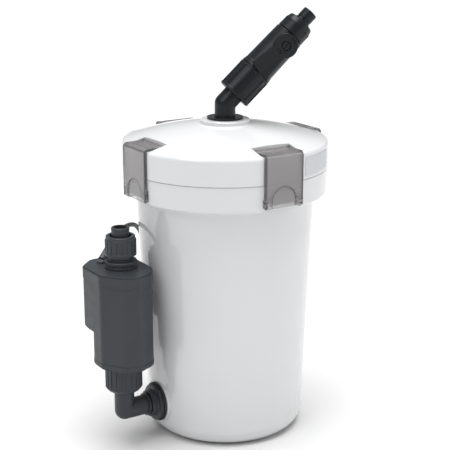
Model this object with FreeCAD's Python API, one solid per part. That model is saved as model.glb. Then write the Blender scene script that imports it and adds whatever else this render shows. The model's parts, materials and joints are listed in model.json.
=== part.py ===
import FreeCAD, Part
import math
import os

# External canister filter for a small aquarium: a clipped canister, a swivelling tap on the lid and an
# inline pump on the side.  Millimetres, +Z up.  The origin is on the canister's axis at the floor.
# The pump hangs on the -X side.  Clips sit at -X, -Y, +X and +Y.

V = FreeCAD.Vector
Z_AXIS = V(0, 0, 1)

# ---- driving dimensions -------------------------------------------------------------------------
# canister
BODY_R_BOTTOM = 67.8
BODY_R_TOP = 75.8
BODY_FOOT_FILLET = 14.0
BODY_WALL = 3.2
FLOOR_TOP = 5.2
RIM_R = 87.0
RIM_BOTTOM = 210.3
RIM_TOP = 231.9
SEAL_R = 79.5
SEAL_SECTION_R = 1.95

# lid
LID_R = 87.5
LID_BOTTOM = 232.1
LID_EDGE_TOP = 255.7
LID_EDGE_FILLET = 4.5
LID_WALL = 3.5
LID_TOP_WALL = 6.0
BOSS_R = 21.0
BOSS_TOP = 271.3
BOSS_UNDERSIDE = 264.6

# clips
CLIP_WIDTH = 36.0
CLIP_FRONT = 88.0
CLIP_THICK = 1.8
CLIP_FLANGE_BACK = 85.4
CLIP_BOTTOM = 213.2
CLIP_LIP_END = 67.5
CLIP_LIP_TOP = 257.2
CLIP_RECESS = 85.0
CLIP_SIDE_GAP = 0.4
CLIP_BEND_R = 4.0
CLIP_FLANGE_THICK = 1.5
EAR_R = 3.0
EAR_THICK = 3.0
PIVOT_R = 82.7
PIVOT_Z = 217.0
ARCH_R = 11.5
ARCH_CENTRE_Z = 218.5
ARCH_DEPTH = 0.7
PIVOT_PIN_R = 1.2
PIVOT_HOLE_R = 1.26
PIVOT_RELIEF_R = 6.85
KNUCKLE_R = 3.1
LUG_TOP = 226.5
KNUCKLE_HALF_WIDTH = 10.9

# label plate on the lid's side
LABEL_START_DEG = -75.1
LABEL_SWEEP_DEG = 25.9
LABEL_BOTTOM = 235.4
LABEL_TOP = 250.6
LABEL_THICK = 0.3

# side port and pump elbow
PORT_Z = 30.0
PORT_SEAT_X = -69.2
PORT_INNER_SEAT_X = -63.6
PIPE_R = 8.4
PIPE_BORE_R = 6.0

# media basket
BASKET_R = 62.0
BASKET_BOTTOM = 46.4
BASKET_TOP = 206.0
STAND_R = 51.0

# pump
PUMP_X = -101.5
PUMP_BASE_Z = 74.5
PUMP_LOWER_SEAM_Z = 80.4
PUMP_UPPER_SEAM_Z = 147.6
PUMP_TOP_Z = 157.0
PUMP_WALL = 2.5
BULGE_BOTTOM_Z = 104.5
BULGE_SLOPE = 3.0
SHAFT_R = 1.25
RUNNING_GAP = 0.06
TUBE_R_IN = 9.2
TUBE_R_OUT = 10.4
IMPELLER_R = 8.6
CORE_LOW = 114.0
CORE_HIGH = 138.0
CORE_R = 15.0
CORE_ARM_IN = 11.2
CORE_ARM_OUT = 14.6
BAR_FRONT = 19.5
BAR_REAR = 24.0

# corners of the pump housing in plan, as (x, y, corner radius)
FRONT_CORNERS = [(-101.0, -33.0, 9.0), (-86.5, -26.0, 8.0), (-79.5, -12.0, 8.0)]
OUTER_CORNERS = [(-127.0, -11.0, 7.0), (-114.0, -30.0, 7.0)]
UPPER_OUTLINE = FRONT_CORNERS + [(-79.5, 22.0, 12.0), (-92.0, 34.0, 10.0), (-114.0, 33.5, 10.0),
                                 (-127.0, 21.0, 8.0)] + OUTER_CORNERS
LOWER_OUTLINE = FRONT_CORNERS + [(-79.5, 13.2, 13.0), (-127.0, 13.2, 13.0)] + OUTER_CORNERS

# tap on the lid: local +Z runs up the inclined arm, local +X is the lever's stem axis
TAP_BEND_Z = 284.0
TAP_TILT_DEG = 45.0
TAP_AZIMUTH_DEG = -18.5
TAP_PIPE_R = 8.8
TAP_BALL_L = 68.4
TAP_CAVITY_HALF = 9.8
TAP_BALL_R = 9.0
TAP_BORE_R = 6.0
TAP_FLAT_X = 11.6
TAP_FLAT_LOW = 36.9
TAP_FLAT_HIGH = 78.7
TAP_LEVER_REST_DEG = -11.0
KNOB_R = 10.4
LEVER_HALF_WIDTH = 5.6
LEVER_REACH = 30.8
LEVER_TIP_FILLET = 1.2
STEM_R = 4.0
STEM_KEY_R = 2.6

# supply cord
CORD_D = 4.0
COIL_CENTRE = (47.6, 108.3)
COIL_INNER_R = 18.7
COIL_OUTER_R = 27.3
COIL_BOTTOM = 0.9
COIL_TOP = 17.5
COIL_TIE_DEG = -120.0
PLUG_RELIEF = 12.0
PLUG_GRIP = 25.0
PLUG_WIDTH = 35.0
PLUG_THICK = 13.6
PLUG_PIN_LENGTH = 19.0
PLUG_PIN_SPACING = 18.6

# The cord's route from the gland to the coil, chosen by hand.
CORD_ROUTE = [
    V(-97.2, 29.1, 167.5), V(-88.6, 35.1, 173.9), V(-75.0, 45.5, 176.5), V(-60.0, 58.0, 174.5),
    V(-47.5, 70.0, 167.0), V(-36.0, 82.2, 151.0), V(-27.0, 91.0, 130.0), V(-19.0, 98.6, 98.0),
    V(-12.2, 107.3, 64.0), V(-3.9, 118.6, 34.0), V(10.0, 131.1, 12.0), V(28.7, 138.2, 3.4),
    V(46.7, 136.7, 3.0), V(60.4, 130.1, 3.0),
]

# The short free end from the coil's top turn down to the plug.
CORD_END_ROUTE = [V(61.1, 129.4, 14.8), V(69.6, 124.1, 13.8), V(78.0, 118.7, 9.5), V(85.6, 113.9, 7.0)]


# ---- general helpers ----------------------------------------------------------------------------
def save(name, shape):
    shape.exportStep("parts/" + name + ".step")
    print("%-22s solids %2d  volume %10.1f mm3" % (name, len(shape.Solids), shape.Volume))


def revolve(profile, axis_origin=V(0, 0, 0), sweep=360.0):
    """Turn a closed (r, z) outline about Z.  A three-number item (r, z, "via") is an arc's middle."""
    edges = []
    count = len(profile)
    index = 0
    while index < count:
        start = profile[index]
        follower = profile[(index + 1) % count]
        start_point = V(start[0], 0, start[1])
        if len(follower) == 3:
            end = profile[(index + 2) % count]
            arc = Part.Arc(start_point, V(follower[0], 0, follower[1]), V(end[0], 0, end[1]))
            edges.append(arc.toShape())
            index += 2
        else:
            edges.append(Part.LineSegment(start_point, V(follower[0], 0, follower[1])).toShape())
            index += 1
    face = Part.Face(Part.Wire(edges))
    solid = face.revolve(V(0, 0, 0), Z_AXIS, sweep)
    solid.translate(axis_origin)
    return solid


def ring(r_in, r_out, z_low, z_high, x=0.0, y=0.0):
    return revolve([(r_in, z_low), (r_out, z_low), (r_out, z_high), (r_in, z_high)], V(x, y, 0))


def rod(radius, start, end):
    direction = end.sub(start)
    return Part.makeCylinder(radius, direction.Length, start, direction)


def box(x_low, x_high, y_low, y_high, z_low, z_high):
    return Part.makeBox(x_high - x_low, y_high - y_low, z_high - z_low, V(x_low, y_low, z_low))


def fused(shapes):
    result = shapes[0]
    for shape in shapes[1:]:
        result = result.fuse(shape)
    return result.removeSplitter()


def turned(shape, degrees):
    copy = shape.copy()
    copy.rotate(V(0, 0, 0), Z_AXIS, degrees)
    return copy


def rounded_prism(corners, z_low, z_high, inset=0.0):
    """Prism over a convex outline of (x, y, corner radius), anticlockwise, pulled in by inset."""
    points = [V(x, y, 0) for x, y, _ in corners]
    count = len(points)
    lines = []
    for index in range(count):
        direction = points[(index + 1) % count].sub(points[index]).normalize()
        inward = V(-direction.y, direction.x, 0)
        lines.append((points[index].add(inward * inset), direction))
    moved = []
    for index in range(count):
        origin_a, dir_a = lines[index - 1]
        origin_b, dir_b = lines[index]
        cross = dir_a.x * dir_b.y - dir_a.y * dir_b.x
        gap = origin_b.sub(origin_a)
        reach = (gap.x * dir_b.y - gap.y * dir_b.x) / cross
        moved.append(origin_a.add(dir_a * reach))
    edges = []
    joins = []
    for index in range(count):
        dir_a = lines[index - 1][1]
        dir_b = lines[index][1]
        radius = max(corners[index][2] - inset, 0.5)
        half_turn = math.acos(max(-1.0, min(1.0, dir_a.dot(dir_b)))) / 2
        cut = radius * math.tan(half_turn)
        first = moved[index].sub(dir_a * cut)
        last = moved[index].add(dir_b * cut)
        to_centre = dir_b.sub(dir_a).normalize()
        middle = moved[index].add(to_centre * (radius / math.cos(half_turn) - radius))
        joins.append((first, middle, last))
    for index in range(count):
        first, middle, last = joins[index]
        edges.append(Part.Arc(first, middle, last).toShape())
        following = joins[(index + 1) % count][0]
        edges.append(Part.LineSegment(last, following).toShape())
    face = Part.Face(Part.Wire(edges))
    face.translate(V(0, 0, z_low))
    return face.extrude(V(0, 0, z_high - z_low))


def ribs(radius, count, width, height, z_low, z_high, x=0.0):
    """Raised grip ribs round a nut, sunk a little into its wall."""
    sunk = 0.6
    bars = []
    for index in range(count):
        bar = box(radius - sunk, radius + height, -width / 2, width / 2, z_low, z_high)
        bars.append(turned(bar, 360.0 * index / count))
    for bar in bars:
        bar.translate(V(x, 0, 0))
    return bars


# ---- canister and lid ---------------------------------------------------------------------------
def canister_body():
    inner_bottom = BODY_R_BOTTOM - BODY_WALL
    inner_top = BODY_R_TOP - BODY_WALL
    fillet = BODY_FOOT_FILLET
    lean = fillet * (1 - math.sqrt(0.5))
    inner_fillet = fillet - BODY_WALL
    inner_lean = inner_fillet * (1 - math.sqrt(0.5))
    foot_r = BODY_R_BOTTOM - fillet
    groove = SEAL_SECTION_R + 0.05
    groove_floor = LID_BOTTOM - 2 * SEAL_SECTION_R
    profile = [
        (0, 0.0), (foot_r - 8, 0.0), (foot_r - 7.2, 1.2), (foot_r - 5.8, 1.2), (foot_r - 5, 0.0),
        (foot_r, 0.0),
        (BODY_R_BOTTOM - lean, lean, "via"), (BODY_R_BOTTOM, fillet),
        (BODY_R_TOP, RIM_BOTTOM), (RIM_R - 2.4, RIM_BOTTOM),
        (RIM_R - 1.1, RIM_BOTTOM + 0.6, "via"), (RIM_R - 0.5, RIM_BOTTOM + 2.0),
        (RIM_R, RIM_TOP), (SEAL_R + groove, RIM_TOP), (SEAL_R + groove, groove_floor),
        (SEAL_R - groove, groove_floor), (SEAL_R - groove, RIM_TOP), (inner_top, RIM_TOP),
        (inner_bottom, FLOOR_TOP + inner_fillet),
        (inner_bottom - inner_lean, FLOOR_TOP + inner_lean, "via"), (inner_bottom - inner_fillet, FLOOR_TOP),
        (0, FLOOR_TOP),
    ]
    shell = revolve(profile)
    outer_pad = rod(18.0, V(PORT_SEAT_X, 0, PORT_Z), V(-66.0, 0, PORT_Z))
    inner_pad = rod(16.0, V(-67.0, 0, PORT_Z), V(PORT_INNER_SEAT_X, 0, PORT_Z))
    shell = shell.fuse([outer_pad, inner_pad])
    shell = shell.cut(rod(9.6, V(PORT_SEAT_X - 5, 0, PORT_Z), V(-50, 0, PORT_Z)))
    half = CLIP_WIDTH / 2 + CLIP_SIDE_GAP
    recess = box(-half, half, -100, -CLIP_RECESS, 205, RIM_TOP + 1)
    relief = rod(PIVOT_RELIEF_R, V(-half, -PIVOT_R, PIVOT_Z), V(half, -PIVOT_R, PIVOT_Z))
    below = box(-half, half, -100, -(PIVOT_R - PIVOT_RELIEF_R), 205, PIVOT_Z)
    wide = KNUCKLE_HALF_WIDTH
    lug = fused([
        rod(KNUCKLE_R, V(-wide, -PIVOT_R, PIVOT_Z), V(wide, -PIVOT_R, PIVOT_Z)),
        box(-wide, wide, -PIVOT_R - KNUCKLE_R, -PIVOT_R + KNUCKLE_R, PIVOT_Z, LUG_TOP),
    ])
    hinge_line = rod(PIVOT_PIN_R, V(-half, -PIVOT_R, PIVOT_Z), V(half, -PIVOT_R, PIVOT_Z))
    cuts = []
    lugs = []
    bores = []
    for turn in range(4):
        cuts += [turned(recess, 90 * turn), turned(relief, 90 * turn), turned(below, 90 * turn)]
        lugs.append(turned(lug, 90 * turn))
        bores.append(turned(hinge_line, 90 * turn))
    shell = shell.cut(cuts)
    shell = shell.fuse(lugs)
    return shell.cut(bores).removeSplitter()


def lid():
    edge_r = LID_R - LID_EDGE_FILLET
    lean = LID_EDGE_FILLET * (1 - math.sqrt(0.5))
    profile = [
        (LID_R, LID_BOTTOM + 0.6), (LID_R, LID_EDGE_TOP - LID_EDGE_FILLET),
        (LID_R - lean, LID_EDGE_TOP - lean, "via"), (edge_r, LID_EDGE_TOP),
        (55.0, 262.7, "via"), (BOSS_R, 268.0),
        (BOSS_R, BOSS_TOP - 0.6), (BOSS_R - 0.6, BOSS_TOP), (TAP_PIPE_R + RUNNING_GAP, BOSS_TOP),
        (TAP_PIPE_R + RUNNING_GAP, BOSS_UNDERSIDE), (BOSS_R - 2, BOSS_UNDERSIDE),
        (53.0, 257.4, "via"), (edge_r - 2.5, LID_EDGE_TOP - LID_TOP_WALL),
        (LID_R - LID_WALL, LID_EDGE_TOP - LID_TOP_WALL - 2), (LID_R - LID_WALL, 236.0),
        (68.5, 236.0), (68.5, 224.0), (71.0, 224.0), (71.8, 225.0), (71.8, LID_BOTTOM),
        (LID_R - 0.6, LID_BOTTOM),
    ]
    shell = revolve(profile)
    half = CLIP_WIDTH / 2 + CLIP_SIDE_GAP
    seat = CLIP_LIP_TOP - CLIP_THICK - 0.3
    pocket = box(-half, half, -100, -(CLIP_LIP_END - 0.3), seat, 275)
    recess = box(-half, half, -100, -CLIP_RECESS, 225, seat + 1)
    cuts = []
    for turn in range(4):
        cuts += [turned(pocket, 90 * turn), turned(recess, 90 * turn)]
    return shell.cut(cuts).removeSplitter()


def lid_seal():
    return Part.makeTorus(SEAL_R, SEAL_SECTION_R, V(0, 0, LID_BOTTOM - SEAL_SECTION_R))


def label_plate():
    plate = revolve(
        [(LID_R, LABEL_BOTTOM), (LID_R + LABEL_THICK, LABEL_BOTTOM), (LID_R + LABEL_THICK, LABEL_TOP),
         (LID_R, LABEL_TOP)],
        sweep=LABEL_SWEEP_DEG)
    return turned(plate, LABEL_START_DEG)


def clip():
    """One hooked clip, drawn at the -Y side: a front plate, a lip over the lid and two pivot ears."""
    half = CLIP_WIDTH / 2
    back = CLIP_FRONT - CLIP_THICK
    lip_low = CLIP_LIP_TOP - CLIP_THICK
    bend = CLIP_BEND_R
    plate = box(-half, half, -CLIP_FRONT, -back, CLIP_BOTTOM, CLIP_LIP_TOP)
    lip = box(-half, half, -CLIP_FRONT, -CLIP_LIP_END, lip_low, CLIP_LIP_TOP)
    bead = box(-half, half, -(CLIP_LIP_END + 1.6), -CLIP_LIP_END, lip_low, CLIP_LIP_TOP + 0.5)
    flanges = []
    for side in (-1, 1):
        edges = sorted((side * half, side * (half - CLIP_FLANGE_THICK)))
        inner, outer = edges
        web_top = CLIP_LIP_TOP - 1
        flanges.append(box(inner, outer, -back, -CLIP_FLANGE_BACK, PIVOT_Z + EAR_R, web_top))
        ear_ends = sorted((side * half, side * (half - EAR_THICK)))
        ear_start = V(ear_ends[0], -PIVOT_R, PIVOT_Z)
        ear_end = V(ear_ends[1], -PIVOT_R, PIVOT_Z)
        flanges.append(rod(EAR_R, ear_start, ear_end))
        web = box(ear_ends[0], ear_ends[1], -back, -PIVOT_R, PIVOT_Z - EAR_R, PIVOT_Z + EAR_R)
        flanges.append(web)
    body = fused([plate, lip, bead] + flanges)
    arch = fused([
        rod(ARCH_R, V(0, -100, ARCH_CENTRE_Z), V(0, -CLIP_FRONT + ARCH_DEPTH, ARCH_CENTRE_Z)),
        box(-ARCH_R, ARCH_R, -100, -CLIP_FRONT + ARCH_DEPTH, CLIP_BOTTOM - 1, ARCH_CENTRE_Z),
    ])
    grooves = []
    for reach in (73.0, 77.5, 82.0):
        groove = box(-half + 3, half - 3, -reach - 0.8, -reach + 0.8, CLIP_LIP_TOP - 0.5, CLIP_LIP_TOP + 1)
        grooves.append(groove)
    outer_bend = box(-half - 1, half + 1, -CLIP_FRONT - 1, -CLIP_FRONT + bend, CLIP_LIP_TOP - bend, 262)
    outer_bend = outer_bend.cut(
        rod(bend, V(-half - 1, -CLIP_FRONT + bend, CLIP_LIP_TOP - bend),
            V(half + 1, -CLIP_FRONT + bend, CLIP_LIP_TOP - bend)))
    holes = rod(PIVOT_HOLE_R, V(-half - 1, -PIVOT_R, PIVOT_Z), V(half + 1, -PIVOT_R, PIVOT_Z))
    return body.cut([arch, outer_bend, holes] + grooves).removeSplitter()


def clip_pins():
    half = CLIP_WIDTH / 2 - 0.4
    pin = rod(PIVOT_PIN_R, V(-half, -PIVOT_R, PIVOT_Z), V(half, -PIVOT_R, PIVOT_Z))
    return Part.makeCompound([turned(pin, 90 * turn) for turn in range(4)])


# ---- filter media inside ------------------------------------------------------------------------
def basket_stand():
    wall = ring(STAND_R - 3, STAND_R, FLOOR_TOP, BASKET_BOTTOM - 0.2)
    ports = []
    for index in range(8):
        ports.append(turned(rod(9.0, V(30, 0, 26), V(60, 0, 26)), 45 * index + 22.5))
    return wall.cut(ports)


def media_basket():
    cup = revolve([
        (0, BASKET_BOTTOM), (BASKET_R - 2, BASKET_BOTTOM), (BASKET_R, BASKET_BOTTOM + 2),
        (BASKET_R, BASKET_TOP), (BASKET_R - 2, BASKET_TOP), (BASKET_R - 2, BASKET_BOTTOM + 2.5),
        (0, BASKET_BOTTOM + 2.5),
    ])
    slots = []
    for row in range(-4, 5):
        y = row * 12.0
        reach = math.sqrt((BASKET_R - 8) ** 2 - y * y)
        slots.append(box(-reach, reach, y - 2.5, y + 2.5, BASKET_BOTTOM - 1, BASKET_BOTTOM + 4))
    bars = [box(x - 1.5, x + 1.5, -55, 55, BASKET_BOTTOM, BASKET_BOTTOM + 2.5) for x in (-24, 0, 24)]
    return fused([cup.cut(slots)] + [bar.common(Part.makeCylinder(BASKET_R - 3, 300)) for bar in bars])


def basket_cover():
    plate = ring(6.0, BASKET_R - 2.4, BASKET_TOP - 8, BASKET_TOP - 5.5)
    slots = []
    for circle in (16.0, 30.0, 44.0):
        count = int(circle / 3.2)
        for index in range(count):
            hole = Part.makeCylinder(3.6, 20, V(circle, 0, BASKET_TOP - 15))
            slots.append(turned(hole, 360.0 * index / count))
    handle = fused([
        box(-3, 3, -34, -31, BASKET_TOP - 5.5, BASKET_TOP + 8),
        box(-3, 3, 31, 34, BASKET_TOP - 5.5, BASKET_TOP + 8),
        box(-3, 3, -34, 34, BASKET_TOP + 8, BASKET_TOP + 11),
    ])
    return fused([plate.cut(slots), handle])


def ceramic_rings():
    outer = 7.0
    length = 14.0
    pitch = 15.0
    solids = []
    for layer in range(2):
        base = 88.0 + layer * (length + 0.6)
        solids.append(ring(3.6, outer, base, base + length))
        for circle in range(1, 4):
            count = 6 * circle
            for index in range(count):
                turn = 2 * math.pi * index / count + 0.4 * layer
                x = circle * pitch * math.cos(turn)
                y = circle * pitch * math.sin(turn)
                solids.append(ring(3.6, outer, base, base + length, x, y))
    return Part.makeCompound(solids)


def pad(radius, z_low, z_high, edge):
    disc = Part.makeCylinder(radius, z_high - z_low, V(0, 0, z_low))
    return disc.makeFillet(edge, [e for e in disc.Edges if len(e.Vertexes) == 1])


# ---- side port ----------------------------------------------------------------------------------
def along_x(shape):
    """Lay a part drawn about +Z on the port's axis, its +Z turned to -X."""
    copy = shape.copy()
    copy.rotate(V(0, 0, 0), V(0, 1, 0), -90)
    copy.translate(V(0, 0, PORT_Z))
    return copy


def port_gasket():
    seat = -PORT_SEAT_X
    return along_x(ring(9.7, 16.8, seat, seat + 2.0))


def port_fitting():
    seat = -PORT_SEAT_X
    return along_x(revolve([
        (6.2, 54.0), (9.5, 54.0), (9.5, seat + 2.0), (15.2, seat + 2.0), (15.6, seat + 2.6),
        (15.6, seat + 4.4), (15.0, seat + 5.0), (12.4, seat + 5.4), (11.4, seat + 6.2), (11.4, seat + 9.6),
        (10.8, seat + 10.2), (PIPE_R + 0.1, seat + 10.2), (PIPE_R + 0.1, seat + 4.0), (6.2, seat + 4.0),
    ]))


def port_lock_nut():
    seat = -PORT_INNER_SEAT_X
    flats = [V(14.2 * math.cos(math.radians(60 * i)), 14.2 * math.sin(math.radians(60 * i)), seat - 6.0)
             for i in range(6)]
    hexagon = Part.Face(Part.makePolygon(flats + [flats[0]]))
    nut = hexagon.extrude(V(0, 0, 6.0)).cut(Part.makeCylinder(9.6, 10, V(0, 0, seat - 8)))
    return along_x(nut)


def pump_elbow():
    corner = V(PUMP_X, 0, PORT_Z)
    port_end = V(PORT_SEAT_X - 4.1, 0, PORT_Z)
    top = V(PUMP_X, 0, 56.5)
    knee = Part.makeSphere(PIPE_R, corner)
    collar = ring(PIPE_R - 1, 11.8, 53.6, 56.5, PUMP_X)
    bead = along_x(ring(PIPE_R - 1, 9.6, 80.2, 82.2))
    outside = fused([rod(PIPE_R, corner, port_end), rod(PIPE_R, corner, top), knee, collar, bead])
    inside = fused([
        rod(PIPE_BORE_R, corner, V(-60, 0, PORT_Z)), rod(PIPE_BORE_R, corner, V(PUMP_X, 0, 60)),
        Part.makeSphere(PIPE_BORE_R, corner),
    ])
    return outside.cut(inside)


def pump_union_nut():
    shell = revolve([
        (PIPE_R + 0.5, 49.7), (13.4, 49.7), (15.2, 51.8), (15.2, 74.0), (12.7, 74.0), (12.7, 53.2),
        (PIPE_R + 0.5, 53.2),
    ], V(PUMP_X, 0, 0))
    return fused([shell] + ribs(15.2, 20, 1.3, 0.5, 52.4, 74.0, PUMP_X))


def pump_union_seal():
    return ring(7.0, 11.4, 56.5, 58.0, PUMP_X)


# ---- pump ---------------------------------------------------------------------------------------
def pump_block(inset, z_low, z_high, bulge_z):
    """The housing's solid form: full-height lower outline, plus the coil bulge above bulge_z."""
    lower = rounded_prism(LOWER_OUTLINE, z_low, z_high, inset)
    bulge = rounded_prism(UPPER_OUTLINE, bulge_z, z_high, inset)
    lift = BULGE_SLOPE / 20.0
    wedge = Part.Face(Part.makePolygon([
        V(-140, 12, bulge_z - 1), V(-140, 40, bulge_z - 1), V(-140, 40, bulge_z + 28 * lift + 1),
        V(-140, 12, bulge_z - 0.2), V(-140, 12, bulge_z - 1)])).extrude(V(80, 0, 0))
    return fused([lower, bulge.cut(wedge)])


def pump_housing():
    outside = pump_block(0.0, PUMP_LOWER_SEAM_Z, PUMP_UPPER_SEAM_Z, BULGE_BOTTOM_Z)
    inside = pump_block(PUMP_WALL, PUMP_LOWER_SEAM_Z - 1, PUMP_UPPER_SEAM_Z + 1, BULGE_BOTTOM_Z + PUMP_WALL)
    return outside.cut(inside)


def pump_bottom_cover():
    rim = rounded_prism(LOWER_OUTLINE, PUMP_BASE_Z + 2.6, PUMP_LOWER_SEAM_Z, -0.25)
    taper = [rounded_prism(LOWER_OUTLINE, PUMP_BASE_Z + step, PUMP_BASE_Z + step + 0.9, inset)
             for step, inset in ((1.7, 0.35), (0.8, 1.3), (0.0, 2.6))]
    stub = ring(6.5, 12.2, 58.0, PUMP_BASE_Z + 0.5, PUMP_X)
    spigot = rounded_prism(LOWER_OUTLINE, PUMP_LOWER_SEAM_Z, PUMP_LOWER_SEAM_Z + 2.5, PUMP_WALL + 0.2)
    hollow = rounded_prism(LOWER_OUTLINE, PUMP_LOWER_SEAM_Z - 2.6, PUMP_LOWER_SEAM_Z + 3, PUMP_WALL + 2.2)
    seat = ring(6.5, 16.0, PUMP_LOWER_SEAM_Z - 3, PUMP_LOWER_SEAM_Z, PUMP_X)
    bore = Part.makeCylinder(6.5, 60, V(PUMP_X, 0, 50))
    tube_room = Part.makeCylinder(TUBE_R_OUT + 0.3, 10, V(PUMP_X, 0, PUMP_LOWER_SEAM_Z))
    return fused([fused([rim, spigot] + taper).cut(hollow), stub, seat]).cut([bore, tube_room])


def pump_top_cover():
    skirt = rounded_prism(UPPER_OUTLINE, PUMP_UPPER_SEAM_Z, PUMP_TOP_Z - 1.0, -0.35)
    top = rounded_prism(UPPER_OUTLINE, PUMP_TOP_Z - 1.0, PUMP_TOP_Z, 0.65)
    spigot = rounded_prism(UPPER_OUTLINE, PUMP_UPPER_SEAM_Z - 2.0, PUMP_UPPER_SEAM_Z, PUMP_WALL + 0.2)
    hollow = rounded_prism(UPPER_OUTLINE, PUMP_UPPER_SEAM_Z - 3, PUMP_TOP_Z - 3.5, PUMP_WALL + 2.2)
    neck = revolve([
        (5.5, PUMP_UPPER_SEAM_Z), (16.0, PUMP_UPPER_SEAM_Z), (16.0, PUMP_TOP_Z - 3), (13.4, PUMP_TOP_Z - 3),
        (13.4, 159.6), (12.6, 160.0), (12.6, 160.8), (13.3, 161.2), (13.3, 163.2), (12.8, 163.8),
        (10.4, 163.8), (10.4, 165.0), (9.8, 165.5), (10.4, 166.0), (10.4, 181.0), (8.4, 181.6),
        (7.4, 182.2), (7.4, 189.0), (7.6, 189.4), (7.6, 190.8), (7.1, 191.5), (5.5, 191.5),
    ], V(PUMP_X, 0, 0))
    bore = Part.makeCylinder(5.5, 90, V(PUMP_X, 0, 140))
    return fused([fused([skirt, top, spigot]).cut(hollow), neck]).cut([bore, gland_hole()])


def pump_outlet_nut():
    shell = revolve([
        (10.9, 168.4), (13.0, 168.4), (13.0, 170.2), (12.5, 170.8), (12.5, 181.8), (12.1, 182.4),
        (12.1, 184.2), (11.7, 184.6), (9.2, 184.6), (9.2, 182.6), (10.9, 181.9),
    ], V(PUMP_X, 0, 0))
    return fused([shell] + ribs(12.5, 16, 1.2, 0.45, 170.4, 181.6, PUMP_X))


def flow_tube():
    return ring(TUBE_R_IN, TUBE_R_OUT, PUMP_LOWER_SEAM_Z, PUMP_UPPER_SEAM_Z, PUMP_X)


def stator_core():
    """Laminated core: a ring round the flow tube, two arms and the bar that carries the coil."""
    poles = ring(TUBE_R_OUT + 0.2, CORE_R, CORE_LOW, CORE_HIGH, PUMP_X)
    left = PUMP_X - CORE_ARM_OUT
    right = PUMP_X + CORE_ARM_OUT
    shapes = [poles, box(left, right, BAR_FRONT, BAR_REAR, CORE_LOW, CORE_HIGH)]
    for near, far in ((-CORE_ARM_OUT, -CORE_ARM_IN), (CORE_ARM_IN, CORE_ARM_OUT)):
        arm = box(PUMP_X + near, PUMP_X + far, 0, BAR_REAR, CORE_LOW, CORE_HIGH)
        shapes.append(arm.cut(Part.makeCylinder(TUBE_R_OUT + 0.2, 200, V(PUMP_X, 0, 0))))
    flux_gap = box(PUMP_X - 1.0, PUMP_X + 1.0, -CORE_R - 1, CORE_R + 1, CORE_LOW - 1, CORE_HIGH + 1)
    return fused(shapes).cut(flux_gap)


def bar_sleeve(clear, length):
    """Square block round the core's bar, that far clear of it on each side."""
    return box(PUMP_X - length / 2, PUMP_X + length / 2, BAR_FRONT - clear, BAR_REAR + clear,
               CORE_LOW - clear, CORE_HIGH + clear)


def coil_bobbin():
    length = 2 * CORE_ARM_IN - 0.4
    spool = bar_sleeve(3.4, length).cut(bar_sleeve(4.0, length - 2.0))
    return fused([spool, bar_sleeve(1.0, length)]).cut(bar_sleeve(0.0, 60))


def stator_coil():
    return bar_sleeve(3.0, 2 * CORE_ARM_IN - 2.4).cut(bar_sleeve(1.0, 60))


def impeller():
    hub = ring(SHAFT_R + RUNNING_GAP, 3.6, 87.0, 111.0, PUMP_X)
    plate = ring(SHAFT_R + RUNNING_GAP, IMPELLER_R, 101.0, 102.6, PUMP_X)
    blades = []
    for index in range(6):
        blade = box(3.0, IMPELLER_R, -0.7, 0.7, 89.0, 101.4)
        blade = turned(blade, 60 * index)
        blade.translate(V(PUMP_X, 0, 0))
        blades.append(blade)
    return fused([hub, plate] + blades)


def rotor_magnet():
    return ring(SHAFT_R + RUNNING_GAP, 8.0, 111.0, 140.0, PUMP_X)


def impeller_shaft():
    return Part.makeCylinder(SHAFT_R, 63.5, V(PUMP_X, 0, 82.0))


def shaft_support(z_low, tip_z):
    """Three-armed spider that holds one end of the shaft in the flow tube."""
    arms = [ring(TUBE_R_IN - 1.2, TUBE_R_IN, z_low, z_low + 3.0, PUMP_X),
            ring(SHAFT_R, 3.2, tip_z, tip_z + 3.6, PUMP_X)]
    for index in range(3):
        arm = turned(box(2.6, TUBE_R_IN - 0.6, -1.0, 1.0, z_low, z_low + 3.0), 120 * index)
        arm.translate(V(PUMP_X, 0, 0))
        arms.append(arm)
    return fused(arms)


# ---- supply cord --------------------------------------------------------------------------------
def gland_frame():
    """Placement of the gland's sleeve: +Z leads out along the cord's first run."""
    out = CORD_ROUTE[1].sub(CORD_ROUTE[0])
    return FreeCAD.Placement(CORD_ROUTE[0], FreeCAD.Rotation(Z_AXIS, out))


def gland_foot():
    out = CORD_ROUTE[1].sub(CORD_ROUTE[0]).normalize()
    drop = (CORD_ROUTE[0].z - PUMP_TOP_Z - 2.0) / out.z
    return CORD_ROUTE[0].sub(out * drop)


def gland_hole():
    foot = gland_foot()
    return Part.makeCylinder(3.0, 12, V(foot.x, foot.y, PUMP_TOP_Z - 8))


def cable_gland():
    """Low round boot on the pump's top cover with a tapered sleeve that leans the way the cord leaves."""
    foot = gland_foot()
    boot = revolve([
        (0, PUMP_TOP_Z - 3.5), (3.0, PUMP_TOP_Z - 3.5), (3.0, PUMP_TOP_Z), (4.2, PUMP_TOP_Z),
        (4.2, PUMP_TOP_Z + 1.2), (3.4, PUMP_TOP_Z + 2.4), (0, PUMP_TOP_Z + 3.4),
    ], V(foot.x, foot.y, 0))
    length = CORD_ROUTE[0].sub(foot).Length
    sleeve = Part.makeCone(3.3, 2.5, length)
    sleeve.translate(V(0, 0, -length))
    sleeve.Placement = gland_frame().multiply(sleeve.Placement)
    return fused([boot, sleeve])


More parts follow.
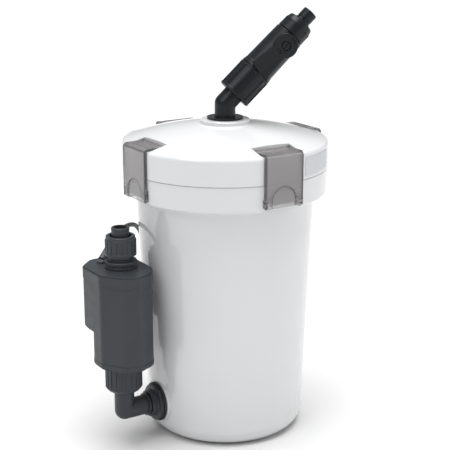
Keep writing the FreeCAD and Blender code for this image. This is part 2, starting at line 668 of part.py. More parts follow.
def cord_tube(route, radius):
    """Round tube along straight runs joined by tangent arcs."""
    edges = []
    start = route[0]
    radii = []
    for index in range(1, len(route) - 1):
        before = route[index].sub(route[index - 1])
        after = route[index + 1].sub(route[index])
        run = min(before.Length, after.Length)
        turn = before.getAngle(after)
        reach = 0.45 * run
        radii.append(reach / math.tan(turn / 2))
        dir_in = V(before).normalize()
        dir_out = V(after).normalize()
        first = route[index].sub(dir_in * reach)
        last = route[index].add(dir_out * reach)
        to_centre = dir_out.sub(dir_in).normalize()
        sag = radii[-1] / math.cos(turn / 2) - radii[-1]
        middle = route[index].add(to_centre * sag)
        edges.append(Part.LineSegment(start, first).toShape())
        edges.append(Part.Arc(first, middle, last).toShape())
        start = last
    edges.append(Part.LineSegment(start, route[-1]).toShape())
    path = Part.Wire(edges)
    circle = Part.Wire([Part.Circle(route[0], route[1].sub(route[0]), radius).toShape()])
    tube = path.makePipeShell([circle], True, False)
    section = math.pi * radius ** 2
    print("cord arc radii", " ".join("%.0f" % value for value in radii))
    print("cord tube length %.1f, volume %.0f of %.0f" % (path.Length, tube.Volume, section * path.Length))
    return tube


def power_cord_coil():
    return ring(COIL_INNER_R, COIL_OUTER_R, COIL_BOTTOM, COIL_TOP, COIL_CENTRE[0], COIL_CENTRE[1])


def cord_tie():
    """Flat tie round the coil's bundle."""
    thick = 0.6
    gap = 0.25
    outer = box(COIL_INNER_R - gap - thick, COIL_OUTER_R + gap + thick, -2.4, 2.4,
                COIL_BOTTOM - gap - thick, COIL_TOP + gap + thick)
    inner = box(COIL_INNER_R - gap, COIL_OUTER_R + gap, -5, 5, COIL_BOTTOM - gap, COIL_TOP + gap)
    band = turned(outer.cut(inner), COIL_TIE_DEG)
    band.translate(V(COIL_CENTRE[0], COIL_CENTRE[1], 0))
    return band


def on_plug(shape):
    """Place a part drawn about +Z, from the cord's end outwards and flat across X, on the plug's line."""
    last = CORD_END_ROUTE[-1]
    before = CORD_END_ROUTE[-2]
    out = V(last.x - before.x, last.y - before.y, 0).normalize()
    rotation = FreeCAD.Rotation(out.cross(Z_AXIS), Z_AXIS * -1, out, "ZXY")
    copy = shape.copy()
    copy.Placement = FreeCAD.Placement(last, rotation).multiply(copy.Placement)
    return copy


def plug_body():
    """Flat two-pin plug: a tapered relief sleeve and a six-sided grip."""
    relief = Part.makeCone(2.9, 4.2, PLUG_RELIEF)
    half_w = PLUG_WIDTH / 2
    half_t = PLUG_THICK / 2
    shoulder = half_w - 5
    outline = [(-half_w, 0.0, 1.5), (-shoulder, -half_t, 2.0), (shoulder, -half_t, 2.0),
               (half_w, 0.0, 1.5), (shoulder, half_t, 2.0), (-shoulder, half_t, 2.0)]
    grip = rounded_prism(outline, PLUG_RELIEF + 7.0, PLUG_RELIEF + PLUG_GRIP)
    waist = rounded_prism(outline, PLUG_RELIEF + 3.5, PLUG_RELIEF + 7.0, 1.2)
    neck = rounded_prism(outline, PLUG_RELIEF - 1.0, PLUG_RELIEF + 3.5, 2.4)
    return on_plug(fused([relief, neck, waist, grip]))


def plug_pins():
    pins = []
    start = PLUG_RELIEF + PLUG_GRIP
    for side in (-1, 1):
        pin = Part.makeCylinder(2.0, PLUG_PIN_LENGTH, V(side * PLUG_PIN_SPACING / 2, 0, start))
        tip_edges = [e for e in pin.Edges if e.CenterOfMass.z > start + PLUG_PIN_LENGTH - 0.1]
        pins.append(pin.makeFillet(1.2, [e for e in tip_edges if len(e.Vertexes) == 1]))
    return on_plug(Part.makeCompound(pins))


# ---- tap on the lid -----------------------------------------------------------------------------
def tap_placement():
    tilt = math.radians(TAP_TILT_DEG)
    turn = math.radians(TAP_AZIMUTH_DEG)
    arm = V(math.sin(tilt) * math.cos(turn), math.sin(tilt) * math.sin(turn), math.cos(tilt))
    stem = V(math.sin(turn), -math.cos(turn), 0)
    rotation = FreeCAD.Rotation(stem, arm.cross(stem), arm, "ZXY")
    return FreeCAD.Placement(V(0, 0, TAP_BEND_Z), rotation)


def on_arm(shape):
    copy = shape.copy()
    copy.Placement = tap_placement().multiply(copy.Placement)
    return copy


def tap_elbow():
    upright = rod(TAP_PIPE_R, V(0, 0, 257.0), V(0, 0, TAP_BEND_Z))
    washer = ring(TAP_PIPE_R - 1, 15.2, BOSS_TOP + 0.3, BOSS_TOP + 1.8)
    arm = on_arm(fused([
        Part.makeCylinder(TAP_PIPE_R, 17.0), ring(TAP_PIPE_R - 1, 11.6, 13.8, 17.0),
    ]))
    knee = Part.makeSphere(TAP_PIPE_R, V(0, 0, TAP_BEND_Z))
    bore = fused([
        Part.makeCylinder(TAP_BORE_R, 40, V(0, 0, TAP_BEND_Z - 40)),
        Part.makeSphere(TAP_BORE_R, V(0, 0, TAP_BEND_Z)),
        on_arm(Part.makeCylinder(TAP_BORE_R, 30)),
    ])
    return fused([upright, washer, arm, knee]).cut(bore)


def tap_lock_ring():
    plain = ring(TAP_PIPE_R, 13.6, 258.8, 263.0)
    notches = [turned(box(11.6, 16, -2, 2, 255, 262), 60 * index) for index in range(6)]
    return plain.cut(notches)


def tap_seal():
    return ring(TAP_PIPE_R, 12.6, 263.0, BOSS_UNDERSIDE - 0.3)


def tap_union_nut():
    shell = revolve([
        (9.3, 10.3), (14.2, 10.3), (15.1, 11.2), (15.1, 12.6), (14.5, 13.2), (14.5, 35.0), (14.9, 35.4),
        (14.9, 36.4), (12.9, 36.4), (12.9, 13.4), (9.3, 13.4),
    ])
    return on_arm(fused([shell] + ribs(14.5, 12, 1.5, 0.6, 12.8, 35.2)))


def tap_union_seal():
    return on_arm(ring(6.5, 11.2, 17.0, 18.6))


def tap_body():
    ball = TAP_BALL_L
    half = TAP_CAVITY_HALF
    outside = revolve([
        (6.0, 18.6), (12.0, 18.6), (12.5, 19.2), (12.5, 37.0), (14.6, 37.0), (14.6, 39.2), (14.2, 39.5),
        (14.2, 41.0), (13.9, 41.4), (13.2, 78.0), (12.6, 78.6), (10.3, 78.6), (10.3, 89.5), (9.6, 90.2),
        (6.9, 90.6), (6.9, 95.0), (6.2, 95.3), (6.2, 96.1), (6.5, 96.4), (6.5, 103.9), (6.0, 104.5),
        (4.4, 104.5), (4.4, ball + half), (10.2, ball + half), (10.2, ball - half), (6.0, ball - half),
    ])
    flat = box(TAP_FLAT_X, 20, -20, 20, TAP_FLAT_LOW, TAP_FLAT_HIGH)
    pad_boss = Part.makeCylinder(KNOB_R + 0.4, 1.8, V(9.9, 0, ball), V(1, 0, 0))
    pad_boss = pad_boss.common(Part.makeCylinder(13.2, 38.4, V(0, 0, 40)))
    cavity = Part.makeCylinder(10.2, 2 * half, V(0, 0, ball - half))
    stem_hole = Part.makeCylinder(STEM_R + RUNNING_GAP, 12, V(5, 0, ball), V(1, 0, 0))
    return on_arm(fused([outside.cut(flat), pad_boss.cut(cavity)]).cut(stem_hole))


def tap_ball():
    ball = Part.makeSphere(TAP_BALL_R, V(0, 0, TAP_BALL_L))
    bore = Part.makeCylinder(5.0, 30, V(0, 0, TAP_BALL_L - 15))
    ball = ball.cut(bore)
    ball.rotate(V(0, 0, TAP_BALL_L), V(1, 0, 0), TAP_LEVER_REST_DEG)
    key = Part.makeCylinder(STEM_KEY_R, 6, V(6.6, 0, TAP_BALL_L), V(1, 0, 0))
    return on_arm(ball.cut(key))


def tap_ball_seats():
    seats = []
    for low, high in ((-TAP_CAVITY_HALF, -6.0), (6.0, TAP_CAVITY_HALF)):
        seats.append(ring(5.4, 10.1, TAP_BALL_L + low, TAP_BALL_L + high))
    ball = Part.makeSphere(TAP_BALL_R + RUNNING_GAP, V(0, 0, TAP_BALL_L))
    return on_arm(Part.makeCompound([seat.cut(ball) for seat in seats]))


def tap_stem():
    key = Part.makeCylinder(STEM_KEY_R, 3.4, V(6.6, 0, TAP_BALL_L), V(1, 0, 0))
    shank = Part.makeCylinder(STEM_R, 3.9, V(9.4, 0, TAP_BALL_L), V(1, 0, 0))
    pilot = Part.makeCylinder(1.3, 4, V(10.3, 0, TAP_BALL_L), V(1, 0, 0))
    return on_arm(fused([key, shank]).cut(pilot))


def tap_lever():
    """Round knob over the stem with a flat lever that lies along the body towards the union nut."""
    ball = TAP_BALL_L
    knob = Part.makeCylinder(KNOB_R, 3.6, V(11.9, 0, ball), V(1, 0, 0))
    knob = knob.makeFillet(0.6, [e for e in knob.Edges if len(e.Vertexes) == 1 and e.CenterOfMass.x > 14])
    tang = box(12.3, 15.1, -LEVER_HALF_WIDTH, LEVER_HALF_WIDTH, ball - LEVER_REACH, ball - 5)
    tip_edges = [e for e in tang.Edges if e.Length < 3 and e.CenterOfMass.z < ball - LEVER_REACH + 1]
    lever = fused([knob, tang.makeFillet(LEVER_TIP_FILLET, tip_edges)])
    hub = Part.makeCylinder(4.3, 2.0, V(14.0, 0, ball), V(1, 0, 0))
    bore = Part.makeCylinder(STEM_R, 1.4, V(11.9, 0, ball), V(1, 0, 0))
    screw_way = Part.makeCylinder(1.4, 6, V(11, 0, ball), V(1, 0, 0))
    slots = []
    for side in (-1, 1):
        edges = sorted((side * 6.0, side * 8.6))
        slots.append(box(14.5, 16, -2.6, 2.6, ball + edges[0], ball + edges[1]))
    lever = lever.cut([hub, bore, screw_way] + slots)
    lever.rotate(V(0, 0, ball), V(1, 0, 0), TAP_LEVER_REST_DEG)
    return on_arm(lever)


def lever_screw():
    head = Part.makeCylinder(3.4, 1.2, V(14.0, 0, TAP_BALL_L), V(1, 0, 0))
    thread = Part.makeCylinder(1.3, 3.6, V(10.4, 0, TAP_BALL_L), V(1, 0, 0))
    slot = box(14.6, 16, -0.4, 0.4, TAP_BALL_L - 5, TAP_BALL_L + 5)
    return on_arm(fused([head, thread]).cut(slot))


def tap_hose_nut():
    shell = revolve([
        (10.8, 79.2), (12.7, 79.2), (12.9, 79.6), (12.4, 88.6), (11.4, 92.4), (10.6, 93.2), (8.9, 93.2),
        (8.9, 91.2), (10.8, 90.5),
    ])
    bars = ribs(12.1, 12, 1.3, 0.75, 80.4, 88.6)
    return on_arm(fused([shell] + bars))


# ---- write every sub-part -----------------------------------------------------------------------
def main():
    os.makedirs("parts", exist_ok=True)
    save("canister_body", canister_body())
    save("lid", lid())
    save("lid_seal", lid_seal())
    save("label_plate", label_plate())
    one_clip = clip()
    for turn, name in enumerate(("clip_front", "clip_right", "clip_rear", "clip_left")):
        save(name, turned(one_clip, 90 * turn))
    save("clip_pins", clip_pins())
    save("basket_stand", basket_stand())
    save("media_basket", media_basket())
    save("basket_cover", basket_cover())
    save("coarse_sponge", pad(59.5, 49.2, 86.5, 3.0))
    save("ceramic_rings", ceramic_rings())
    save("carbon_bag", pad(57.0, 118.2, 146.0, 8.0))
    save("fine_pad", pad(59.5, 146.6, 190.0, 3.0))
    save("port_gasket", port_gasket())
    save("port_fitting", port_fitting())
    save("port_lock_nut", port_lock_nut())
    save("pump_elbow", pump_elbow())
    save("pump_union_nut", pump_union_nut())
    save("pump_union_seal", pump_union_seal())
    save("pump_bottom_cover", pump_bottom_cover())
    save("pump_housing", pump_housing())
    save("pump_top_cover", pump_top_cover())
    save("pump_outlet_nut", pump_outlet_nut())
    save("flow_tube", flow_tube())
    save("stator_core", stator_core())
    save("coil_bobbin", coil_bobbin())
    save("stator_coil", stator_coil())
    save("impeller", impeller())
    save("rotor_magnet", rotor_magnet())
    save("impeller_shaft", impeller_shaft())
    save("shaft_support_lower", shaft_support(81.0, 82.0))
    save("shaft_support_upper", shaft_support(143.0, 142.0))
    save("cable_gland", cable_gland())
    save("power_cord", cord_tube(CORD_ROUTE, CORD_D / 2))
    save("power_cord_coil", power_cord_coil())
    save("power_cord_end", cord_tube(CORD_END_ROUTE, CORD_D / 2))
    save("cord_tie", cord_tie())
    save("plug_body", plug_body())
    save("plug_pins", plug_pins())
    save("tap_elbow", tap_elbow())
    save("tap_lock_ring", tap_lock_ring())
    save("tap_seal", tap_seal())
    save("tap_union_nut", tap_union_nut())
    save("tap_union_seal", tap_union_seal())
    save("tap_body", tap_body())
    save("tap_ball", tap_ball())
    save("tap_ball_seats", tap_ball_seats())
    save("tap_stem", tap_stem())
    save("tap_lever", tap_lever())
    save("lever_screw", lever_screw())
    save("tap_hose_nut", tap_hose_nut())


main()
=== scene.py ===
import json
import math

import bpy
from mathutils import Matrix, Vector


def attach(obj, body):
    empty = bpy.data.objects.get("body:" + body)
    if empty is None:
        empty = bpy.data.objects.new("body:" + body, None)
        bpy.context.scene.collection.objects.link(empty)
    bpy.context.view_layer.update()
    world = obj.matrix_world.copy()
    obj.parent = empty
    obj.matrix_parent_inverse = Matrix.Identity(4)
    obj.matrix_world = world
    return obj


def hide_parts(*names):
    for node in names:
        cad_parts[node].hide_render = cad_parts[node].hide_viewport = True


# Small external canister filter on a pale floor.  +Z up, origin under the canister's centre.  Places
# and sizes named here are in millimetres unless they go straight to Blender, which works in metres.

MM = 0.001

# canister wall: a straight taper between two heights
WALL_LOW_Z = 14.0
WALL_HIGH_Z = 210.3
WALL_LOW_R = 67.8
WALL_HIGH_R = 75.8

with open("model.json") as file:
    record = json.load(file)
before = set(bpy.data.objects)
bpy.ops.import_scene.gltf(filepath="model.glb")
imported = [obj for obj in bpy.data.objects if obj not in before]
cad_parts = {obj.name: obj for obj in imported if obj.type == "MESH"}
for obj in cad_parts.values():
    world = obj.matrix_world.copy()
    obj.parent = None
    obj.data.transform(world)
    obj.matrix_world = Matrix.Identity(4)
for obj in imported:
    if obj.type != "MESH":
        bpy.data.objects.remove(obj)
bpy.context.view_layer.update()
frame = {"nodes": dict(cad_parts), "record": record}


def collection_link(obj):
    bpy.context.scene.collection.objects.link(obj)
    return obj


# ---- camera --------------------------------------------------------------------------------------
def make_camera():
    data = bpy.data.cameras.new("camera")
    data.lens = 93.86
    data.sensor_width = 36.0
    data.clip_end = 50.0
    camera = collection_link(bpy.data.objects.new("camera", data))
    camera.location = (-0.5246, -0.8234, 0.4505)
    camera.rotation_euler = (math.radians(74.4), 0.0, math.radians(-32.5))
    bpy.context.scene.camera = camera


make_camera()

# ---- supply cord ---------------------------------------------------------------------------------
CORD_D = 4.0
CORD_ROUTE = [
    (-97.2, 29.1, 167.5), (-88.6, 35.1, 173.9), (-75.0, 45.5, 176.5), (-60.0, 58.0, 174.5),
    (-47.5, 70.0, 167.0), (-36.0, 82.2, 151.0), (-27.0, 91.0, 130.0), (-19.0, 98.6, 98.0),
    (-12.2, 107.3, 64.0), (-3.9, 118.6, 34.0), (10.0, 131.1, 12.0), (28.7, 138.2, 3.4),
    (46.7, 136.7, 3.0), (60.4, 130.1, 3.0),
]
CORD_END_ROUTE = [(71.0, 127.0, 13.4), (78.3, 118.9, 9.5), (85.6, 113.9, 7.0)]
COIL_CENTRE = (47.6, 108.3)
COIL_START_DEG = 59.6
COIL_POINTS = 18
COIL_INNER = 20.8
COIL_OUTER = 24.9
COIL_LAYER_Z = (3.0, 7.05, 11.1, 15.15)
SHIFT_START_DEG = 310.0
SHIFT_SWEEP_DEG = 30.0
SHIFT_BULGE = 1.5
LAST_TURN_FLARE = 4.6
FLARE_START_DEG = 275.0
FLARE_SWEEP_DEG = 55.0


def eased(value):
    value = min(max(value, 0.0), 1.0)
    return value * value * (3 - 2 * value)


def coil_slots():
    """Radius and height of each turn, working outer, inner, inner, outer up the layers."""
    slots = []
    for layer, z in enumerate(COIL_LAYER_Z):
        pair = (COIL_OUTER, COIL_INNER) if layer % 2 == 0 else (COIL_INNER, COIL_OUTER)
        slots += [(pair[0], z), (pair[1], z)]
    return slots


def coil_route():
    """Eight turns, clockwise from above; each moves to the next slot in the same short stretch."""
    slots = coil_slots()
    swell = 1.0 / math.cos(math.pi / COIL_POINTS) ** 0.5
    points = []
    for step in range(1, COIL_POINTS * len(slots)):
        angle = 360.0 * step / COIL_POINTS
        turn = int(angle // 360)
        along = angle - 360 * turn
        share = eased((along - SHIFT_START_DEG) / SHIFT_SWEEP_DEG)
        radius, z = slots[turn]
        if turn + 1 < len(slots):
            next_radius, next_z = slots[turn + 1]
            if next_radius == radius:
                side = 1.0 if radius == COIL_OUTER else -1.0
                radius += side * SHIFT_BULGE * math.sin(math.pi * share)
            radius += share * (next_radius - radius)
            z += share * (next_z - z)
        else:
            radius += LAST_TURN_FLARE * eased((along - FLARE_START_DEG) / FLARE_SWEEP_DEG)
        azimuth = math.radians(COIL_START_DEG - angle)
        points.append((COIL_CENTRE[0] + swell * radius * math.cos(azimuth),
                       COIL_CENTRE[1] + swell * radius * math.sin(azimuth), z))
    return points


def make_cord():
    data = bpy.data.curves.new("supply_cord", "CURVE")
    data.dimensions = "3D"
    data.bevel_depth = 1.0
    data.bevel_resolution = 6
    data.use_fill_caps = True
    data.resolution_u = 6
    spline = data.splines.new("NURBS")
    points = CORD_ROUTE + coil_route() + CORD_END_ROUTE
    spline.points.add(len(points) - 1)
    for point, place in zip(spline.points, points):
        point.co = (place[0] * MM, place[1] * MM, place[2] * MM, 1.0)
        point.radius = CORD_D * MM / 2
    spline.order_u = 3
    spline.use_endpoint_u = True
    cord = collection_link(bpy.data.objects.new("supply_cord", data))
    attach(cord, "root")
    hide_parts("power_cord", "power_cord_coil", "power_cord_end")
    return cord


cord = make_cord()


# ---- material kit --------------------------------------------------------------------------------
class Maker:
    """Small wrapper that wires a procedural Principled material."""

    def __init__(self, name, color, roughness, **settings):
        self.material = bpy.data.materials.new(name)
        self.material.use_nodes = True
        self.tree = self.material.node_tree
        self.shader = self.tree.nodes["Principled BSDF"]
        self.shader.inputs["Base Color"].default_value = (*color, 1.0)
        self.shader.inputs["Roughness"].default_value = roughness
        for socket, value in settings.items():
            self.shader.inputs[socket.replace("_", " ")].default_value = value
        self.place = self.add("ShaderNodeTexCoord").outputs["Object"]
        self.normal = None

    def add(self, kind, **values):
        node = self.tree.nodes.new(kind)
        for key, value in values.items():
            setattr(node, key, value)
        return node

    def link(self, source, target):
        self.tree.links.new(source, target)

    def stretched(self, scale):
        node = self.add("ShaderNodeMapping")
        node.inputs["Scale"].default_value = scale
        self.link(self.place, node.inputs["Vector"])
        return node.outputs["Vector"]

    def noise(self, scale, detail=3.0, roughness=0.5, vector=None):
        node = self.add("ShaderNodeTexNoise")
        node.inputs["Scale"].default_value = scale
        node.inputs["Detail"].default_value = detail
        node.inputs["Roughness"].default_value = roughness
        self.link(vector or self.place, node.inputs["Vector"])
        return node.outputs["Fac"]

    def cells(self, scale, feature="F1", vector=None):
        node = self.add("ShaderNodeTexVoronoi", feature=feature)
        node.inputs["Scale"].default_value = scale
        self.link(vector or self.place, node.inputs["Vector"])
        return node.outputs["Distance"]

    def waves(self, scale, direction, distortion=0.0):
        node = self.add("ShaderNodeTexWave", bands_direction=direction)
        node.inputs["Scale"].default_value = scale
        node.inputs["Distortion"].default_value = distortion
        self.link(self.place, node.inputs["Vector"])
        return node.outputs["Fac"]

    def math(self, operation, first, second=None):
        """A maths node; each operand is an output of another node or a plain number."""
        node = self.add("ShaderNodeMath", operation=operation)
        for socket, value in zip(node.inputs, (first, second)):
            if isinstance(value, float):
                socket.default_value = value
            elif value is not None:
                self.link(value, socket)
        return node.outputs["Value"]

    def spread(self, factor, low, high, start=0.3, end=0.7):
        node = self.add("ShaderNodeMapRange")
        node.inputs["From Min"].default_value = start
        node.inputs["From Max"].default_value = end
        node.inputs["To Min"].default_value = low
        node.inputs["To Max"].default_value = high
        self.link(factor, node.inputs["Value"])
        return node.outputs["Result"]

    def color(self, factor, low, high, start=0.3, end=0.7):
        node = self.add("ShaderNodeValToRGB")
        node.color_ramp.elements[0].position = start
        node.color_ramp.elements[0].color = (*low, 1.0)
        node.color_ramp.elements[1].position = end
        node.color_ramp.elements[1].color = (*high, 1.0)
        self.link(factor, node.inputs["Fac"])
        self.link(node.outputs["Color"], self.shader.inputs["Base Color"])
        return self

    def rough(self, factor, low, high, start=0.3, end=0.7):
        self.link(self.spread(factor, low, high, start, end), self.shader.inputs["Roughness"])
        return self

    def soft_edges(self, radius):
        node = self.add("ShaderNodeBevel", samples=6)
        node.inputs["Radius"].default_value = radius
        self.attach(node.outputs["Normal"])
        return self

    def bump(self, height, depth, strength=1.0):
        node = self.add("ShaderNodeBump")
        node.inputs["Strength"].default_value = strength
        node.inputs["Distance"].default_value = depth
        self.link(height, node.inputs["Height"])
        if self.normal:
            self.link(self.normal, node.inputs["Normal"])
        self.attach(node.outputs["Normal"])
        return self

    def attach(self, output):
        self.normal = output
        self.link(output, self.shader.inputs["Normal"])


# clips: clear plastic, the painted shade on its side walls and pivot arch, and where the pivot arch and the
# side walls lie
SMOKE_CLEAR = (0.68, 0.665, 0.67)
SMOKE_SHADED = (0.22, 0.215, 0.22)
ARCH_Z = 218.5
ARCH_RADIUS = 11.5
CLIP_WALL = 16.0


def shade(color, factor):
    return tuple(channel * factor for channel in color)


def plastic(name, color, low, high, edge, grain, grain_depth, drift=0.06, **settings):
    """Moulded plastic: faint colour drift, drifting gloss, softened edges and a fine grain."""
    m = Maker(name, color, low, **settings)
    m.color(m.noise(38.0, 4.0), shade(color, 1 - drift), shade(color, 1 + drift))
    m.rough(m.noise(120.0, 5.0, 0.6), low, high)
    m.soft_edges(edge)
    return m.bump(m.noise(grain, 4.0, 0.6), grain_depth)


def smoke_plastic():
    """Clear smoke plastic of the clips, darkened by painted shade at its side walls and pivot arch."""
    m = plastic("smoke_moulded", SMOKE_CLEAR, 0.03, 0.07, 0.0003, 300.0, 0.000008, 0.02,
                Transmission_Weight=0.88, IOR=1.49)
    axes = m.add("ShaderNodeSeparateXYZ")
    m.link(m.place, axes.inputs["Vector"])
    across = m.math("MINIMUM", m.math("ABSOLUTE", axes.outputs["X"]), m.math("ABSOLUTE", axes.outputs["Y"]))
    rise = m.math("MAXIMUM", m.math("SUBTRACT", axes.outputs["Z"], ARCH_Z * MM), 0.0)
    reach = m.math("SQRT", m.math("ADD", m.math("POWER", across, 2.0), m.math("POWER", rise, 2.0)))
    off_arch = m.math("ABSOLUTE", m.math("SUBTRACT", reach, ARCH_RADIUS * MM))
    arch = m.spread(off_arch, 1.0, 0.0, 0.4 * MM, 1.1 * MM)
    wall = m.spread(across, 0.0, 1.0, CLIP_WALL * MM, (CLIP_WALL + 1.2) * MM)
    # painted shade: the colour is darkened at the side walls and along the pivot arch
    painted_shade = m.math("MAXIMUM", wall, m.math("MULTIPLY", arch, 0.55))
    return m.color(painted_shade, SMOKE_CLEAR, SMOKE_SHADED, 0.0, 1.0)


def build_materials():
    made = {}
    white = plastic("white_moulded", (0.685, 0.69, 0.70), 0.09, 0.15, 0.0006, 160.0, 0.000006,
                    0.006, Coat_Weight=0.3, Coat_Roughness=0.04)
    made["white_plastic"] = white
    slate = (0.030, 0.035, 0.041)
    made["slate_plastic"] = plastic("slate_moulded", slate, 0.36, 0.48, 0.0004, 1500.0, 0.000018,
                                    Specular_IOR_Level=0.4)
    black = (0.007, 0.0095, 0.0115)
    made["black_plastic"] = plastic("black_moulded", black, 0.30, 0.40, 0.0004, 1500.0, 0.000016,
                                    Specular_IOR_Level=0.28)
    made["smoke_plastic"] = smoke_plastic()
    rubber = Maker("black_rubber", (0.02, 0.02, 0.022), 0.6)
    rubber.color(rubber.noise(90.0), (0.014, 0.014, 0.015), (0.03, 0.03, 0.032))
    rubber.rough(rubber.noise(300.0), 0.52, 0.7).soft_edges(0.0003)
    made["black_rubber"] = rubber.bump(rubber.noise(2200.0, 5.0), 0.00003)
    foil = Maker("blank_foil", (0.62, 0.64, 0.66), 0.3, Metallic=1.0)
    brushed = foil.noise(1.0, 3.0, 0.6, foil.stretched((400.0, 400.0, 9000.0)))
    foil.color(brushed, (0.44, 0.45, 0.47), (0.64, 0.65, 0.68)).rough(brushed, 0.26, 0.42)
    made["silver_label"] = foil.bump(brushed, 0.000006)
    steel = Maker("pin_steel", (0.6, 0.6, 0.6), 0.3, Metallic=1.0)
    lines = steel.noise(1.0, 2.0, 0.5, steel.stretched((5000.0, 300.0, 300.0)))
    steel.color(lines, (0.48, 0.48, 0.49), (0.70, 0.70, 0.70)).rough(lines, 0.22, 0.38)
    made["steel_pin"] = steel.soft_edges(0.0002).bump(lines, 0.000004)
    made["basket_plastic"] = plastic("basket_moulded", (0.055, 0.055, 0.060), 0.38, 0.52, 0.0005,
                                     1300.0, 0.00002)
    made["inner_plastic"] = plastic("inner_moulded", (0.20, 0.215, 0.23), 0.30, 0.44, 0.0003,
                                    1300.0, 0.000015)
    made["seat_plastic"] = plastic("seat_moulded", (0.74, 0.74, 0.72), 0.28, 0.36, 0.0003,
                                   900.0, 0.00001)
    made["tie_plastic"] = plastic("tie_moulded", (0.025, 0.025, 0.026), 0.35, 0.5, 0.0002,
                                  2500.0, 0.00002)
    sponge = Maker("open_foam", (0.03, 0.03, 0.034), 0.95)
    pores = sponge.cells(420.0, "SMOOTH_F1")
    sponge.color(pores, (0.006, 0.006, 0.007), (0.06, 0.06, 0.066), 0.1, 0.6)
    made["sponge"] = sponge.bump(pores, 0.0009)
    ceramic = Maker("porous_ceramic", (0.66, 0.60, 0.52), 0.85)
    grit = ceramic.noise(900.0, 6.0, 0.7)
    ceramic.color(grit, (0.50, 0.44, 0.37), (0.76, 0.71, 0.64)).rough(grit, 0.75, 0.95)
    made["ceramic"] = ceramic.soft_edges(0.0006).bump(ceramic.cells(1500.0), 0.00012)
    bag = Maker("mesh_bag", (0.05, 0.05, 0.055), 0.8)
    grains = bag.cells(330.0)
    bag.color(grains, (0.10, 0.10, 0.105), (0.015, 0.015, 0.016), 0.1, 0.6).bump(grains, 0.0010)
    made["media_bag"] = bag.bump(bag.cells(1400.0, "DISTANCE_TO_EDGE"), 0.00025)
    floss = Maker("filter_floss", (0.80, 0.82, 0.83), 0.95, Sheen_Weight=0.4)
    fibres = floss.noise(1.0, 6.0, 0.7, floss.stretched((350.0, 350.0, 1500.0)))
    floss.color(fibres, (0.60, 0.63, 0.65), (0.86, 0.87, 0.88))
    made["floss"] = floss.bump(fibres, 0.0011)
    laminate = Maker("lamination", (0.30, 0.31, 0.32), 0.4, Metallic=1.0)
    sheets = laminate.waves(320.0, "Z", 0.4)
    laminate.color(sheets, (0.14, 0.14, 0.15), (0.42, 0.43, 0.44), 0.1, 0.5)
    made["lamination_steel"] = laminate.rough(sheets, 0.35, 0.5).bump(sheets, 0.00015)
    copper = Maker("enamelled_copper", (0.60, 0.26, 0.12), 0.25, Metallic=0.9)
    wires = copper.waves(420.0, "X", 0.8)
    copper.color(wires, (0.28, 0.10, 0.045), (0.72, 0.34, 0.17), 0.1, 0.7)
    made["copper_wire"] = copper.rough(wires, 0.2, 0.35).bump(wires, 0.0002)
    ferrite = Maker("ferrite", (0.06, 0.06, 0.065), 0.5, Metallic=0.3)
    sinter = ferrite.noise(1200.0, 5.0, 0.7)
    ferrite.color(sinter, (0.035, 0.035, 0.038), (0.085, 0.085, 0.09)).rough(sinter, 0.4, 0.6)
    made["ferrite"] = ferrite.soft_edges(0.0003).bump(sinter, 0.00003)
    jacket = Maker("cord_jacket", (0.050, 0.054, 0.058), 0.5)
    jacket.color(jacket.noise(60.0), (0.040, 0.043, 0.047), (0.062, 0.066, 0.071))
    jacket.rough(jacket.noise(500.0), 0.42, 0.58).soft_edges(0.0004)
    made["cord_rubber"] = jacket.bump(jacket.noise(2600.0, 4.0), 0.00003)
    nickel = Maker("nickel", (0.68, 0.67, 0.64), 0.15, Metallic=1.0)
    scuffs = nickel.noise(1.0, 4.0, 0.6, nickel.stretched((900.0, 900.0, 3500.0)))
    nickel.color(scuffs, (0.58, 0.57, 0.55), (0.76, 0.75, 0.72)).rough(scuffs, 0.1, 0.28)
    made["plug_metal"] = nickel.bump(scuffs, 0.000004)
    return {slot: maker.material for slot, maker in made.items()}


MATERIALS = build_materials()


def dress(obj, slot):
    """Give every material place of an object the one procedural material of that slot."""
    if not obj.material_slots:
        obj.data.materials.append(MATERIALS[slot])
    for place in obj.material_slots:
        place.material = MATERIALS[slot]


dress(cord, "cord_rubber")
for part in frame["record"]["subparts"]:
    dress(frame["nodes"][part["node"]], part["material_slot"])


# ---- small surface details -----------------------------------------------------------------------
def strip(name, lines, body, slot):
    """Thin ribbon mesh between two equally long lines of points, in millimetres."""
    mesh = bpy.data.meshes.new(name)
    count = len(lines[0])
    points = [tuple(value * MM for value in point) for line in lines for point in line]
    faces = []
    for row in range(len(lines) - 1):
        for index in range(count - 1):
            low = row * count + index
            faces.append((low, low + 1, low + count + 1, low + count))
    mesh.from_pydata(points, [], faces)
    for face in mesh.polygons:
        face.use_smooth = True
    obj = collection_link(bpy.data.objects.new(name, mesh))
    dress(obj, slot)
    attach(obj, body)
    return obj


SEAM_TOP = 209.8
SEAM_LOW_RIGHT = 15.0
SEAM_LOW_LEFT = 55.0
SEAM_STEPS = 40
WALL_MEAN_R = 72.0
# the seam's section: distance along the wall and height above it
SEAM_SECTION = ((-0.45, -0.02), (-0.12, 0.12), (0.12, 0.12), (0.45, -0.02))


def wall_point(azimuth, z, proud):
    """Point on the canister's tapered wall, in millimetres."""
    share = (z - WALL_LOW_Z) / (WALL_HIGH_Z - WALL_LOW_Z)
    radius = WALL_LOW_R + (WALL_HIGH_R - WALL_LOW_R) * share + proud
    return (radius * math.cos(azimuth), radius * math.sin(azimuth), z)


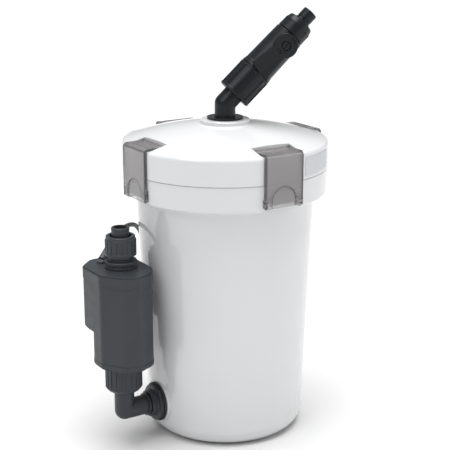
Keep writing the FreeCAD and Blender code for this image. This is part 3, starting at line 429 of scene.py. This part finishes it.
def make_parting_lines():
    """The mould's two faint vertical witness lines, on opposite sides of the wall."""
    for name, centre in (("parting_line_right", 0.0), ("parting_line_left", math.pi)):
        low = SEAM_LOW_LEFT if centre else SEAM_LOW_RIGHT
        heights = [low + (SEAM_TOP - low) * step / SEAM_STEPS for step in range(SEAM_STEPS + 1)]
        lines = []
        for side, proud in SEAM_SECTION:
            lines.append([wall_point(centre + side / WALL_MEAN_R, z, proud) for z in heights])
        strip(name, lines, "root", "white_plastic")


make_parting_lines()


# ---- room ----------------------------------------------------------------------------------------
FLOOR_HALF_M = 12.0
LIGHT_AIM = (0.0, 0.0, 0.15)
SKY_STRENGTH = 0.34
OVERHEAD_ENERGY = 3.7
OVERHEAD_ANGLE_DEG = 50.0


def make_floor():
    mesh = bpy.data.meshes.new("floor")
    half = FLOOR_HALF_M
    mesh.from_pydata([(-half, -half, 0), (half, -half, 0), (half, half, 0), (-half, half, 0)], [],
                     [(0, 1, 2, 3)])
    floor = collection_link(bpy.data.objects.new("floor", mesh))
    paint = Maker("pale_floor", (0.70, 0.70, 0.70), 0.9)
    paint.color(paint.noise(3.0), (0.69, 0.69, 0.69), (0.71, 0.71, 0.71))
    mesh.materials.append(paint.material)


def area_light(name, place, aim, size, power):
    data = bpy.data.lights.new(name, "AREA")
    data.shape = "RECTANGLE"
    data.size, data.size_y = size
    data.energy = power
    lamp = collection_link(bpy.data.objects.new(name, data))
    lamp.location = place
    lamp.rotation_euler = (Vector(aim) - Vector(place)).to_track_quat("-Z", "Y").to_euler()


def make_light():
    world = bpy.data.worlds.new("studio")
    bpy.context.scene.world = world
    world.use_nodes = True
    sky = world.node_tree.nodes["Background"]
    sky.inputs["Color"].default_value = (1.0, 1.0, 1.0, 1.0)
    sky.inputs["Strength"].default_value = SKY_STRENGTH
    area_light("key", (-1.3, -0.4, 1.5), LIGHT_AIM, (0.9, 0.9), 7.5)
    area_light("fill", (1.2, -1.3, 0.9), LIGHT_AIM, (0.5, 1.4), 6.0)
    data = bpy.data.lights.new("overhead", "SUN")
    data.energy = OVERHEAD_ENERGY
    data.angle = math.radians(OVERHEAD_ANGLE_DEG)
    collection_link(bpy.data.objects.new("overhead", data))
    bpy.context.scene.view_settings.view_transform = "Standard"


make_floor()
make_light()

bpy.context.view_layer.update()
